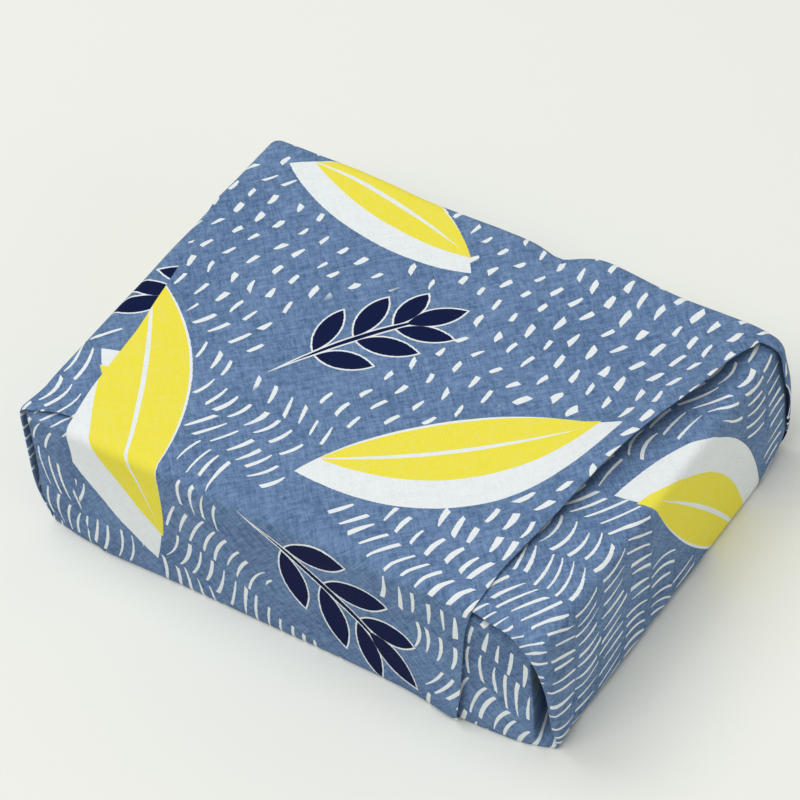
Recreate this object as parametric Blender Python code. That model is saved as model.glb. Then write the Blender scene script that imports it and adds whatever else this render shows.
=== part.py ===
"""A box wrapped flat in one square cloth, with no knot.

The cloth lies corner to corner under the box.  Its near corner is folded over the front and
the top, then its left and right corners come up the two ends, and last its far corner comes
up the back, over the top and down the front, and its tip is tucked underneath.

+X runs along the parcel to its right end, +Y to its back and +Z up.  The origin is under the
middle of the parcel, on the surface that it rests on.  Sizes are in metres.
"""

import math
from collections import namedtuple

import bmesh
import bpy
import numpy as np

# The parcel's outside, with all its folds
LENGTH = 0.240
DEPTH = 0.176
HEIGHT = 0.0627
CLOTH_SIDE = 0.700

# A folded edge stands this proud: two plies of cotton and the air between them
FOLD = 0.0012
# How far a flap's hidden inner side is sunk into what it lies on
SUNK = 0.0016
# The roundness of the box's edges under the cloth
EDGE_RADIUS = 0.0040
# The mesh: its steps over flat cloth, the turns, in degrees, of its rows round half an edge, and
# its columns inward from the edges of a flap
STEP = 0.0085
EDGE_TURNS = (45, 30, 15, 0)
FLAP_COLUMNS = (0.0, 0.0015, 0.0035, 0.006, 0.009, 0.013, 0.019, 0.026)
MIDDLE_COLUMNS = 20

# What the flaps lie on: the wrapped box under them
BOX_HALF_LENGTH = LENGTH / 2 - FOLD
BOX_HALF_DEPTH = DEPTH / 2 - FOLD
BOX_HEIGHT = HEIGHT - 2 * FOLD

# Way marks of the last flap, from the bottom of the back, over the top and round underneath
BACK_TOP = BOX_HEIGHT
FRONT_TOP = BACK_TOP + 2 * BOX_HALF_DEPTH
FRONT_BOTTOM = FRONT_TOP + BOX_HEIGHT
TIP = CLOTH_SIDE / math.sqrt(2) - BOX_HALF_DEPTH
# The tip is blunted to this width
TIP_WIDTH = 0.004

# A row for each station of the last flap: its way, how far its left and right edges lie
# inside the box's ends (less than nothing where they turn onto an end), and how high they lift
Station = namedtuple("Station", "way left right lift_left lift_right")
LAST_FLAP = (
    Station(way=0.000, left=-0.0005, right=-0.0005, lift_left=0.0, lift_right=0.0),
    Station(way=0.018, left=-0.0030, right=-0.0030, lift_left=0.0, lift_right=0.0),
    Station(way=0.034, left=-0.0050, right=-0.0060, lift_left=0.0002, lift_right=0.0003),
    Station(way=0.050, left=-0.0060, right=-0.0090, lift_left=0.0002, lift_right=0.0004),
    Station(way=BACK_TOP, left=-0.0010, right=0.0000, lift_left=0.0, lift_right=0.0004),
    Station(way=BACK_TOP + 0.008, left=-0.0038, right=0.0044, lift_left=0.0, lift_right=0.0018),
    Station(way=BACK_TOP + 0.023, left=-0.0032, right=0.0106, lift_left=0.0, lift_right=0.0032),
    Station(way=BACK_TOP + 0.044, left=0.0008, right=0.0160, lift_left=0.0001, lift_right=0.0040),
    Station(way=BACK_TOP + 0.065, left=0.0060, right=0.0211, lift_left=0.0002, lift_right=0.0042),
    Station(way=BACK_TOP + 0.085, left=0.0098, right=0.0258, lift_left=0.0002, lift_right=0.0040),
    Station(way=BACK_TOP + 0.118, left=0.0153, right=0.0290, lift_left=0.0002, lift_right=0.0027),
    Station(way=BACK_TOP + 0.153, left=0.0184, right=0.0318, lift_left=0.0002, lift_right=0.0008),
    Station(way=FRONT_TOP, left=0.0222, right=0.0312, lift_left=0.0002, lift_right=0.0004),
    Station(way=FRONT_TOP + 0.010, left=0.0232, right=0.0339, lift_left=0.0003, lift_right=0.0006),
    Station(way=FRONT_TOP + 0.025, left=0.0230, right=0.0357, lift_left=0.0006, lift_right=0.0012),
    Station(way=FRONT_TOP + 0.044, left=0.0256, right=0.0366, lift_left=0.0008, lift_right=0.0019),
    Station(way=FRONT_BOTTOM, left=0.0320, right=0.0388, lift_left=0.0, lift_right=0.0),
    Station(way=FRONT_BOTTOM + 0.027, left=0.0410, right=0.0478, lift_left=0.0, lift_right=0.0),
)
# How much of the flap's width a lifted edge takes with it, and the lift that leaves a gap
LIFT_REACH = 0.026
FREE_LIFT = 0.0005

# The end flaps: how far their near edge hangs over the front's top edge, and the round
# that it makes at the near corner, from the edge's upright stretch to its level one
EndFlap = namedtuple("EndFlap", "name side overhang corner_round upright lift")
END_FLAPS = (
    EndFlap("left_flap", side=-1, overhang=-0.0035, corner_round=0.0110, upright=0.0008, lift=0.0004),
    EndFlap("right_flap", side=1, overhang=0.0008, corner_round=0.0185, upright=0.0008, lift=0.0011),
)
# How far the end flaps are made, over the top and under the last flap
END_FLAP_REACH = 0.062
# The lifted lip along an end flap's near edge, and the zone behind it that has finer columns
LIP_REACH = 0.012
NEAR_ZONE = 0.024
NEAR_COLUMNS = 12

# Soft swells and dents of the cloth: where, how far they reach, and how far they push
Swell = namedtuple("Swell", "at reach push")
SWELLS = (
    Swell(at=(0.000, -0.088, 0.004), reach=(0.200, 0.040, 0.028), push=(0, -0.0022, 0)),
    Swell(at=(0.078, -0.088, 0.008), reach=(0.028, 0.030, 0.020), push=(0, -0.0014, 0)),
    Swell(at=(0.082, -0.088, 0.000), reach=(0.017, 0.030, 0.013), push=(0, -0.0020, 0)),
    Swell(at=(0.104, -0.088, 0.000), reach=(0.014, 0.030, 0.016), push=(0, -0.0014, 0)),
    Swell(at=(-0.093, -0.088, 0.006), reach=(0.030, 0.030, 0.020), push=(0, -0.0012, 0)),
    Swell(at=(-0.060, 0.088, 0.024), reach=(0.060, 0.030, 0.024), push=(0, 0.0018, 0)),
    Swell(at=(-0.030, 0.088, 0.062), reach=(0.045, 0.030, 0.020), push=(0, -0.0009, -0.0007)),
    Swell(at=(0.018, 0.088, 0.061), reach=(0.010, 0.018, 0.018), push=(0, -0.0022, -0.0016)),
    Swell(at=(0.043, 0.088, 0.060), reach=(0.018, 0.022, 0.020), push=(0, 0.0018, 0.0013)),
    Swell(at=(-0.085, 0.060, 0.063), reach=(0.040, 0.040, 0.030), push=(0, 0, 0.0008)),
    Swell(at=(0.000, -0.020, 0.063), reach=(0.080, 0.050, 0.030), push=(0, 0, -0.0009)),
    Swell(at=(-0.070, -0.050, 0.063), reach=(0.035, 0.035, 0.030), push=(0, 0, 0.0010)),
    Swell(at=(0.120, 0.000, 0.034), reach=(0.030, 0.060, 0.020), push=(0.0012, 0, 0)),
    Swell(at=(-0.120, 0.000, 0.036), reach=(0.030, 0.060, 0.024), push=(-0.0016, 0, 0)),
    Swell(at=(0.120, 0.088, 0.063), reach=(0.012, 0.012, 0.014), push=(-0.0022, -0.0012, -0.0012)),
    Swell(at=(0.120, 0.088, 0.000), reach=(0.012, 0.014, 0.012), push=(-0.0030, -0.0025, 0)),
    Swell(at=(-0.120, -0.088, 0.000), reach=(0.016, 0.014, 0.012), push=(0.0036, 0.0022, 0)),
    Swell(at=(0.120, -0.088, 0.000), reach=(0.008, 0.010, 0.010), push=(0.0010, 0.0024, 0)),
    Swell(at=(-0.120, -0.088, 0.026), reach=(0.014, 0.014, 0.016), push=(0.0010, 0.0004, 0)),
)
# Below this height the swells fade out of the upright direction, so that the underside is flat
FLAT_BELOW = 0.012

# The cloth of the underside rises over the tucked tip, and level for a margin beside it
TUCK_RISE = 0.0010
TUCK_MARGIN = 0.009
TUCK_SLOPE = 0.012


def smooth(share):
    """0 to 1 with level ends."""
    share = np.clip(share, 0.0, 1.0)
    return share * share * (3 - 2 * share)


def curve_through(ways, values, way):
    """A smooth curve through a table's values, with its slopes from the neighbours."""
    ways, values = np.asarray(ways, float), np.asarray(values, float)
    slopes = np.gradient(values, ways)
    i = int(np.clip(np.searchsorted(ways, way) - 1, 0, len(ways) - 2))
    span = ways[i + 1] - ways[i]
    t = (way - ways[i]) / span
    return float(
        (2 * t**3 - 3 * t**2 + 1) * values[i]
        + (t**3 - 2 * t**2 + t) * span * slopes[i]
        + (3 * t**2 - 2 * t**3) * values[i + 1]
        + (t**3 - t**2) * span * slopes[i + 1]
    )


def station(way):
    """The last flap's left and right edges, across from the middle, and how high they lift."""
    last = LAST_FLAP[-1]
    if way > last.way:
        # past the folded edges the cloth's own corner narrows by its right angle
        share = (way - last.way) / (TIP - last.way)
        middle = (last.left - last.right) / 2
        half_width = (1 - share) * (BOX_HALF_LENGTH - (last.left + last.right) / 2)
        half_width = max(half_width, TIP_WIDTH / 2)
        return middle - half_width, middle + half_width, 0.0, 0.0
    ways = [row.way for row in LAST_FLAP]
    left, right, lift_left, lift_right = (
        curve_through(ways, [getattr(row, column) for row in LAST_FLAP], max(way, 0.0))
        for column in Station._fields[1:]
    )
    return left - BOX_HALF_LENGTH, BOX_HALF_LENGTH - right, max(lift_left, 0), max(lift_right, 0)


def on_last_flap(across, way):
    """The sharp box's point under a point of the last flap."""
    past_end = max(abs(across) - BOX_HALF_LENGTH, 0.0)
    x = math.copysign(min(abs(across), BOX_HALF_LENGTH), across)
    if way < 0:
        return x, BOX_HALF_DEPTH + way, 0.0
    if way < BACK_TOP:
        return x, BOX_HALF_DEPTH - past_end, way
    if way < FRONT_TOP:
        return x, BOX_HALF_DEPTH - (way - BACK_TOP), BOX_HEIGHT - past_end
    if way < FRONT_BOTTOM:
        return x, -BOX_HALF_DEPTH, BOX_HEIGHT - (way - FRONT_TOP)
    return x, -BOX_HALF_DEPTH + (way - FRONT_BOTTOM), 0.0


def rounded(point):
    """(place on the rounded box, the way out of it there) for a point of the sharp box."""
    low = np.array([-BOX_HALF_LENGTH, -BOX_HALF_DEPTH, 0.0]) + EDGE_RADIUS
    high = np.array([BOX_HALF_LENGTH, BOX_HALF_DEPTH, BOX_HEIGHT]) - EDGE_RADIUS
    core = np.clip(point, low, high)
    out = np.asarray(point) - core
    out = out / np.linalg.norm(out)
    return core + out * EDGE_RADIUS, out


def swollen(place):
    """The place pushed by the cloth's swells and dents, with the underside kept flat."""
    pushed = np.array(place, float)
    for swell in SWELLS:
        away = (np.asarray(place) - swell.at) / swell.reach
        pushed += np.array(swell.push) * math.exp(-float(away @ away))
    pushed[2] = place[2] + (pushed[2] - place[2]) * smooth(place[2] / FLAT_BELOW)
    return pushed


def lie_of_last_flap(out):
    """How high the last flap's outer side lies: on one fold at back and front, on two elsewhere."""
    return FOLD * (out[1] ** 2 + 2 * max(out[2], 0.0) ** 2 + 2 * out[0] ** 2)


def lie_of_end_flap(out):
    """How high an end flap's outer side lies, above what it covers."""
    return FOLD * (1 - min(out[2], 0.0) ** 2)


def rising_from_foot(lie, way):
    """The lie of a flap, which grows out of the underside's cloth at the foot of its side."""
    return -SUNK + (lie + SUNK) * smooth(way / EDGE_RADIUS)


def edge_rows(corner):
    """Mesh rows that turn round one edge of the box."""
    turns = [EDGE_RADIUS * (1 - math.tan(math.radians(angle))) for angle in EDGE_TURNS]
    return sorted({corner - turn for turn in turns} | {corner + turn for turn in turns})


def filled(marks):
    """The marks in order, with more between them wherever they lie over a step apart."""
    marks = sorted(marks)
    rows = [marks[0]]
    for low, high in zip(marks, marks[1:]):
        parts = max(1, round((high - low) / STEP))
        rows += [low + (high - low) * part / parts for part in range(1, parts + 1)]
    return rows


def closed_slab(name, outer, inner):
    """A closed body between two grids of points, as an object that a Boolean can read."""
    rows, columns = len(outer), len(outer[0])
    mesh = bmesh.new()
    skins = [[[mesh.verts.new(place) for place in row] for row in grid] for grid in (outer, inner)]
    top, under = skins
    for i in range(rows - 1):
        for j in range(columns - 1):
            mesh.faces.new((top[i][j], top[i][j + 1], top[i + 1][j + 1], top[i + 1][j]))
            mesh.faces.new((under[i][j], under[i + 1][j], under[i + 1][j + 1], under[i][j + 1]))
    rim = [(0, j) for j in range(columns)]
    rim += [(i, columns - 1) for i in range(1, rows)]
    rim += [(rows - 1, j) for j in range(columns - 2, -1, -1)]
    rim += [(i, 0) for i in range(rows - 2, 0, -1)]
    for (i, j), (k, m) in zip(rim, rim[1:] + rim[:1]):
        mesh.faces.new((top[i][j], under[i][j], under[k][m], top[k][m]))
    bmesh.ops.recalc_face_normals(mesh, faces=mesh.faces)
    return object_from(name, mesh)


def object_from(name, mesh):
    """Links a finished bmesh to the scene as an object."""
    data = bpy.data.meshes.new(name)
    mesh.to_mesh(data)
    mesh.free()
    made = bpy.data.objects.new(name, data)
    bpy.context.scene.collection.objects.link(made)
    return made


def tuck_rise(x, y):
    """How far the underside's cloth rises to make room for the tucked tip."""
    way = FRONT_BOTTOM + (y + BOX_HALF_DEPTH)
    left, right, _, _ = station(min(way, TIP))
    past = max(left - x, x - right, way - TIP, 0.0)
    return TUCK_RISE * (1 - smooth((past - TUCK_MARGIN) / TUCK_SLOPE))


def wrapped_box():
    """The box in its first, inner folds: a rounded block with the cloth's swells."""
    xs, ys, zs = (
        filled(edge_rows_inside(low, high))
        for low, high in (
            (-BOX_HALF_LENGTH, BOX_HALF_LENGTH),
            (-BOX_HALF_DEPTH, BOX_HALF_DEPTH),
            (0.0, BOX_HEIGHT),
        )
    )
    mesh = bmesh.new()
    verts = {}

    def vert(i, j, k):
        if (i, j, k) not in verts:
            place, _ = rounded((xs[i], ys[j], zs[k]))
            place = swollen(place)
            if zs[k] < EDGE_RADIUS:
                place[2] += tuck_rise(place[0], place[1]) * (1 - zs[k] / EDGE_RADIUS)
            verts[i, j, k] = mesh.verts.new(place)
        return verts[i, j, k]

    spans = [range(len(marks) - 1) for marks in (xs, ys, zs)]
    ends = [(0, len(marks) - 1) for marks in (xs, ys, zs)]
    for axis in range(3):
        across, along = (axis + 1) % 3, (axis + 2) % 3
        for end in ends[axis]:
            for a in spans[across]:
                for b in spans[along]:
                    corners = []
                    for da, db in ((0, 0), (1, 0), (1, 1), (0, 1)):
                        place = [0, 0, 0]
                        place[axis], place[across], place[along] = end, a + da, b + db
                        corners.append(vert(*place))
                    mesh.faces.new(corners)
    bmesh.ops.recalc_face_normals(mesh, faces=mesh.faces)
    return object_from("furoshiki_wrap", mesh)


def edge_rows_inside(low, high):
    """The marks of both edge roundings that lie between two ends."""
    marks = edge_rows(low) + edge_rows(high)
    return {mark for mark in marks if low <= mark <= high}


def last_flap():
    """The far corner of the cloth: up the back, over the top, down the front and underneath."""
    ways = [mark for corner in (BACK_TOP, FRONT_TOP, FRONT_BOTTOM) for mark in edge_rows(corner)]
    ways = filled([0.0, EDGE_RADIUS] + ways + [LAST_FLAP[-1].way, TIP])
    outer, inner = [], []
    for way in ways:
        left, right, lift_left, lift_right = station(way)
        columns = np.array(FLAP_COLUMNS) * min(1.0, (right - left) / (4 * FLAP_COLUMNS[-1]))
        middle = np.linspace(left + columns[-1], right - columns[-1], MIDDLE_COLUMNS + 2)[1:-1]
        outer_row, inner_row = [], []
        for across in np.concatenate([left + columns, middle, (right - columns)[::-1]]):
            place, out = rounded(on_last_flap(across, way))
            lift = lift_left * smooth(1 - (across - left) / LIFT_REACH)
            lift += lift_right * smooth(1 - (right - across) / LIFT_REACH)
            high = rising_from_foot(lie_of_last_flap(out), way) + lift
            # where it lifts it has a free underside, and elsewhere it sinks into what it lies on
            free = smooth((lift - FREE_LIFT) / FREE_LIFT)
            low = min((high - FOLD) * free - SUNK * (1 - free), high - 0.9 * FOLD)
            outer_row.append(swollen(place) + out * high)
            inner_row.append(swollen(place) + out * low)
        outer.append(outer_row)
        inner.append(inner_row)
    return closed_slab("last_flap", outer, inner)


def end_flap(flap):
    """A side corner of the cloth: up one end and over the top, under the last flap."""
    ways = filled([0.0, EDGE_RADIUS] + edge_rows(BOX_HEIGHT) + [BOX_HEIGHT + END_FLAP_REACH])
    backs = filled([NEAR_ZONE, 2 * BOX_HALF_DEPTH - EDGE_RADIUS, 2 * BOX_HALF_DEPTH])[1:]
    outer, inner = [], []
    for way in ways:
        edge, corner = near_edge_of(flap, way), end_point(flap, way, 0.0)
        # how far the edge hangs over the front, or less than nothing where it lies on the top
        hang = math.dist(edge, corner) * (1 if edge[1] <= corner[1] else -1)
        outer_row, inner_row = [], []
        for back in [*np.linspace(-hang, NEAR_ZONE, NEAR_COLUMNS), *backs]:
            hanging = back < 0 < hang
            point = corner - (edge - corner) * back / hang if hanging else end_point(flap, way, back)
            place, out = rounded(point)
            lift = flap.lift * smooth(1 - (back + hang) / LIP_REACH) * smooth((way - 0.010) / 0.020)
            outer_row.append(swollen(place) + out * (rising_from_foot(lie_of_end_flap(out), way) + lift))
            inner_row.append(swollen(place) - out * SUNK)
        outer.append(outer_row)
        inner.append(inner_row)
    return closed_slab(flap.name, outer, inner)


def end_point(flap, way, back):
    """The sharp box's point under an end flap: up the end, then inwards over the top."""
    y = back - BOX_HALF_DEPTH
    if way < BOX_HEIGHT:
        return np.array([flap.side * BOX_HALF_LENGTH, y, way])
    return np.array([flap.side * (BOX_HALF_LENGTH - (way - BOX_HEIGHT)), y, BOX_HEIGHT])


def near_edge_of(flap, way):
    """The near folded edge of an end flap: up the near corner, round it and along the front."""
    turn = np.clip((way - BOX_HEIGHT + flap.corner_round) / (2 * flap.corner_round), 0.0, 1.0)
    along = flap.upright + flap.corner_round * (1 - math.cos(turn * math.pi / 2))
    down = flap.corner_round - (flap.corner_round - flap.overhang) * math.sin(turn * math.pi / 2)
    if turn <= 0:
        along, down = flap.upright, BOX_HEIGHT - way
    elif turn >= 1:
        along = way - BOX_HEIGHT
    x = flap.side * (BOX_HALF_LENGTH - along)
    if down >= 0:
        return np.array([x, -BOX_HALF_DEPTH, BOX_HEIGHT - down])
    return np.array([x, -BOX_HALF_DEPTH - down, BOX_HEIGHT])


def cotton():
    """Blue printed cotton."""
    material = bpy.data.materials.new("blue printed cotton")
    material.use_nodes = True
    shader = material.node_tree.nodes["Principled BSDF"]
    shader.inputs["Base Color"].default_value = (0.11, 0.18, 0.36, 1.0)
    shader.inputs["Roughness"].default_value = 0.85
    shader.inputs["Metallic"].default_value = 0.0
    return material


def clear_scene():
    for old in list(bpy.data.objects):
        bpy.data.objects.remove(old)


def centre_over_origin(wrap, pieces):
    """Moves the joined parcel so that its box is centred over the origin."""
    joined = wrap.evaluated_get(bpy.context.evaluated_depsgraph_get())
    corners = np.array([corner[:] for corner in joined.bound_box])
    middle = (corners.min(axis=0) + corners.max(axis=0)) / 2
    for piece in pieces:
        piece.location = (-middle[0], -middle[1], 0.0)


def main():
    clear_scene()
    wrap = wrapped_box()
    wrap.data.materials.append(cotton())
    flaps = [end_flap(flap) for flap in END_FLAPS] + [last_flap()]
    for flap in flaps:
        flap.hide_render = True
        flap.display_type = "WIRE"
        join = wrap.modifiers.new(flap.name, "BOOLEAN")
        join.operation = "UNION"
        join.solver = "EXACT"
        join.object = flap
    wrap.data.shade_smooth()
    wrap.data.set_sharp_from_angle(angle=math.radians(40))
    centre_over_origin(wrap, [wrap] + flaps)


main()
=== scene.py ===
# %% [markdown]
# # A box in a furoshiki
#
# A furoshiki is one square of cotton.  Here it wraps a flat box without a knot: the near corner
# goes over the box, the left and right corners come up the ends, and the far corner comes up the
# back, over everything, down the front and under.  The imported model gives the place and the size
# of the wrapped parcel.  This lesson makes the cloth itself, as one thin sheet with real folded
# edges, and then its weave and its print.

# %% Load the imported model
import math
from collections import namedtuple

import bmesh
import bpy
import numpy as np
from mathutils import Matrix, Vector


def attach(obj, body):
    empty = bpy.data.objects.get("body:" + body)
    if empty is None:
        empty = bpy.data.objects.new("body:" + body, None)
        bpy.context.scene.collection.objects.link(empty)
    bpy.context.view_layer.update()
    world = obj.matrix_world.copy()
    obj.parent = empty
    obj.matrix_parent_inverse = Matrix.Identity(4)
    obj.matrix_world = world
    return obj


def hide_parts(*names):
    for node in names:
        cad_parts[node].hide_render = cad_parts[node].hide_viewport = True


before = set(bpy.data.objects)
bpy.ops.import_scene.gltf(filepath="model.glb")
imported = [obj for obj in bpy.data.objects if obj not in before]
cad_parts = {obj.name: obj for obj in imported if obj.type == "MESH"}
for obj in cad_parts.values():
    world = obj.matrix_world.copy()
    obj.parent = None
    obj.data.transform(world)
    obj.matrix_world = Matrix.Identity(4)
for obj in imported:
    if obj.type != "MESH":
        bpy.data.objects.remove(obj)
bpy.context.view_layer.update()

# %% [markdown]
# ## The camera first
#
# A long lens from far away keeps the parcel's edges almost parallel, so that the box looks calm
# and square.  You could also drag a camera into place by eye, but then nothing says where it
# stands.  Here the numbers are ones that you could read off a tripod: a bearing, a height angle,
# a small tilt and a distance.

# %% Camera
PARCEL_MIDDLE = Vector((0.00005, 0.00146, 0.0))  # the box's own middle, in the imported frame
LENGTH, DEPTH, HEIGHT = 0.240, 0.176, 0.0627  # the parcel, over all its folds

BEARING = math.radians(38.69)
HEIGHT_ANGLE = math.radians(46.13)
TILT = math.radians(-7.19)
DISTANCE = 6.324 * LENGTH
AIM_RIGHT, AIM_UP = -0.0145 * LENGTH, 0.0449 * LENGTH  # the aim, off the parcel's middle
LENS = 175.95  # millimetres, for Blender's own sensor of 36 mm


def into_scene(name, data):
    made = bpy.data.objects.new(name, data)
    bpy.context.scene.collection.objects.link(made)
    return made


def place_camera():
    back = Vector((
        math.sin(BEARING) * math.cos(HEIGHT_ANGLE),
        -math.cos(BEARING) * math.cos(HEIGHT_ANGLE),
        math.sin(HEIGHT_ANGLE),
    ))
    level = Vector((math.cos(BEARING), math.sin(BEARING), 0.0))
    right = level * math.cos(TILT) + back.cross(level) * math.sin(TILT)
    up = back.cross(right)
    aim = PARCEL_MIDDLE + Vector((0, 0, HEIGHT / 2)) + right * AIM_RIGHT + up * AIM_UP
    camera = into_scene("camera", bpy.data.cameras.new("camera"))
    turned = Matrix((right, up, back)).transposed().to_4x4()
    camera.matrix_world = Matrix.Translation(aim + back * DISTANCE) @ turned
    camera.data.lens = LENS
    bpy.context.scene.camera = camera
    return camera


camera = place_camera()
print("camera at", [round(place, 3) for place in camera.location])

# %% [markdown]
# ## Cloth laid on a box
#
# Every point of the wrap is found in three steps.  First it is put on a box with sharp edges,
# by how far along the cloth it lies.  Then the box's edges are rounded.  Last it is lifted along
# the way out of the box, by the folds that lie under it, and pushed by the cloth's own swells.
# Working this way, a flap needs only a short table that says where its edges run.

# %% Sizes of the folds
CLOTH_SIDE = 0.700
HALF_DIAGONAL = CLOTH_SIDE / math.sqrt(2)
FOLD = 0.0012  # what one flap adds: two plies and the air between them
FOLD_ROUND = 0.00032  # the radius that a folded edge turns on
EDGE_RADIUS = 0.0040
HALF_LENGTH = LENGTH / 2 - FOLD
HALF_DEPTH = DEPTH / 2 - FOLD
TOP = HEIGHT - 2 * FOLD

# ways along the last flap, from the bottom of the back
BACK_FOOT, BACK_TOP = 0.0, TOP
FRONT_TOP = BACK_TOP + 2 * HALF_DEPTH
FRONT_BOTTOM = FRONT_TOP + TOP
TIP = HALF_DIAGONAL - HALF_DEPTH
print(f"the last flap reaches {1000 * (TIP - FRONT_BOTTOM):.0f} mm under the parcel")


# %% Helpers on arrays of points
def smooth(share):
    """0 to 1 with level ends."""
    share = np.clip(share, 0.0, 1.0)
    return share * share * (3 - 2 * share)


def risen(value, start, over):
    """0 up to start, and 1 from where the value is past it by over."""
    return smooth((value - start) / over)


def curve_through(ways, values, way):
    """A smooth curve through a table's values, with its slopes from the neighbours."""
    slopes = np.gradient(values, ways)
    i = int(np.clip(np.searchsorted(ways, way) - 1, 0, len(ways) - 2))
    span = ways[i + 1] - ways[i]
    t = (way - ways[i]) / span
    return (
        (2 * t**3 - 3 * t**2 + 1) * values[i]
        + (t**3 - 2 * t**2 + t) * span * slopes[i]
        + (3 * t**2 - 2 * t**3) * values[i + 1]
        + (t**3 - t**2) * span * slopes[i + 1]
    )


# 2 is a round edge, and more is a squarer one; the last is how soon the foot's takes over
TOP_SQUARENESS, FOOT_SQUARENESS, FOOT_BLEND = 2.7, 6.0, 3


def rounded(points):
    """(places on the rounded box, ways out of it) for points of the sharp box."""
    low = np.array([-HALF_LENGTH, -HALF_DEPTH, 0.0]) + EDGE_RADIUS
    high = np.array([HALF_LENGTH, HALF_DEPTH, TOP]) - EDGE_RADIUS
    core = np.clip(points, low, high)
    out = points - core
    out /= np.linalg.norm(out, axis=-1, keepdims=True)
    foot = np.maximum(-out[..., 2:], 0.0)
    power = TOP_SQUARENESS + (FOOT_SQUARENESS - TOP_SQUARENESS) * smooth(foot * FOOT_BLEND)
    reach = EDGE_RADIUS / np.sum(np.abs(out) ** power, axis=-1, keepdims=True) ** (1 / power)
    return core + out * reach, out


sharp_corner = np.array([HALF_LENGTH, HALF_DEPTH, TOP])
drawn_in = np.linalg.norm(sharp_corner - rounded(sharp_corner)[0])
print(f"a sharp top corner is drawn in by {1000 * drawn_in:.1f} mm")

# %% [markdown]
# ## Swells and creases
#
# The box is firm, but cotton never lies dead flat over it.  A cloth simulation would give some
# folds, but not these ones, so they are given one by one.  Each row below is one soft swell or
# dent: where it is, how far it reaches along X, Y and Z, and how far it pushes.  The front leans
# out at its foot, the far top edge has a dent and a bump where the folds below end, and three of
# the corners are rounder than the rest.

# %% Swells and dents
def in_metres(kind, rows):
    """Rows of a table in millimetres, made into things of one kind in metres."""
    return [kind(*(np.array(part) / 1000 for part in row)) for row in rows]


Swell = namedtuple("Swell", "at reach push")
SWELLS = in_metres(Swell, (
    ((0, -88, 4), (200, 40, 28), (0, -2.2, 0)),
    ((78, -88, 8), (28, 30, 20), (0, -1.4, 0)),
    ((82, -88, 0), (17, 30, 13), (0, -2, 0)),
    ((104, -88, 0), (14, 30, 16), (0, -1.4, 0)),
    ((-93, -88, 6), (30, 30, 20), (0, -1.2, 0)),
    ((-60, 88, 24), (60, 30, 24), (0, 1.8, 0)),
    ((-30, 88, 62), (45, 30, 20), (0, -0.9, -0.7)),
    ((18, 88, 61), (10, 18, 18), (0, -2.2, -1.6)),
    ((43, 88, 60), (18, 22, 20), (0, 1.8, 1.3)),
    ((-85, 60, 63), (40, 40, 30), (0, 0, 0.8)),
    ((0, -20, 63), (80, 50, 30), (0, 0, -0.9)),
    ((-70, -50, 63), (35, 35, 30), (0, 0, 1)),
    ((120, 0, 34), (30, 60, 20), (1.2, 0, 0)),
    ((-120, 0, 36), (30, 60, 24), (-1.6, 0, 0)),
    ((120, 88, 63), (12, 12, 14), (-2.2, -1.2, -1.2)),
    ((120, 88, 0), (12, 14, 12), (-3, -2.5, 0)),
    ((-120, -88, 0), (16, 14, 12), (3.6, 2.2, 0)),
    ((120, -88, 0), (8, 10, 10), (1, 2.4, 0)),
    ((-120, -88, 26), (14, 14, 16), (1, 0.4, 0)),
))
FLAT_BELOW = 0.012  # lower than this the swells fade out of the upright way
print("swells and dents:", len(SWELLS))

# %% Creases and faint waves
# soft ridges (up) and troughs (down): from, to, half their width and their height
Crease = namedtuple("Crease", "start end width height")
CREASES = in_metres(Crease, (
    ((18, 90, 58), (30, 50, 63), 5, -0.9),
    ((33, 90, 62), (52, 58, 64), 6, 0.7),
    ((112, 80, 64), (30, 30, 64), 9, 0.7),
    ((100, 60, 64), (50, 50, 64), 6, -0.4),
    ((80, -90, 6), (30, -90, 48), 6, 0.6),
    ((70, -92, 2), (10, -90, 30), 5, -0.5),
    ((78, -90, 9), (100, -89, 27), 3.4, -1.4),
    ((83, -90, 5), (104, -89, 17), 3.6, 1.1),
    ((-92, -90, 10), (-50, -90, 50), 6, 0.5),
    ((-105, -30, 64), (-40, 10, 64), 8, -0.5),
    ((-20, -84, 63), (20, -30, 64), 9, -0.6),
    ((122, -80, 10), (122, -30, 50), 6, 0.6),
    ((122, 20, 4), (122, 60, 54), 7, -0.6),
    ((122, -20, 2), (122, -10, 40), 5, -0.4),
))

FADE_ALONG = 0.6  # how much of its height a crease loses towards its far end

# long faint waves everywhere, as (wave number along X, Y and Z in turns a metre, height)
WAVES = (
    ((11.0, 7.0, 9.0), 0.00016),
    ((-17.0, 12.0, 15.0), 0.00012),
    ((23.0, -29.0, 21.0), 0.00007),
    ((-41.0, -37.0, 33.0), 0.00004),
)
print("creases:", len(CREASES), "and waves:", len(WAVES))


# %% Push and crease the cloth
def swollen(places):
    pushed = places.copy()
    for swell in SWELLS:
        away = (places - swell.at) / swell.reach
        pushed += np.exp(-np.sum(away * away, axis=-1, keepdims=True)) * swell.push
    upright = pushed[..., 2] - places[..., 2]
    pushed[..., 2] = places[..., 2] + upright * smooth(places[..., 2] / FLAT_BELOW)
    return pushed


def creased(places):
    """How far the creases and the faint waves lift the cloth at these places."""
    height = np.zeros(places.shape[:-1])
    for crease in CREASES:
        along = crease.end - crease.start
        share = np.clip((places - crease.start) @ along / (along @ along), 0.0, 1.0)
        away = np.linalg.norm(places - crease.start - share[..., None] * along, axis=-1)
        height += crease.height * np.exp(-((away / crease.width) ** 2)) * (1 - FADE_ALONG * share)
    for turns, size in WAVES:
        height += size * np.sin(2 * math.pi * places @ np.array(turns))
    return height * smooth(places[..., 2] / FLAT_BELOW)


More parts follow.
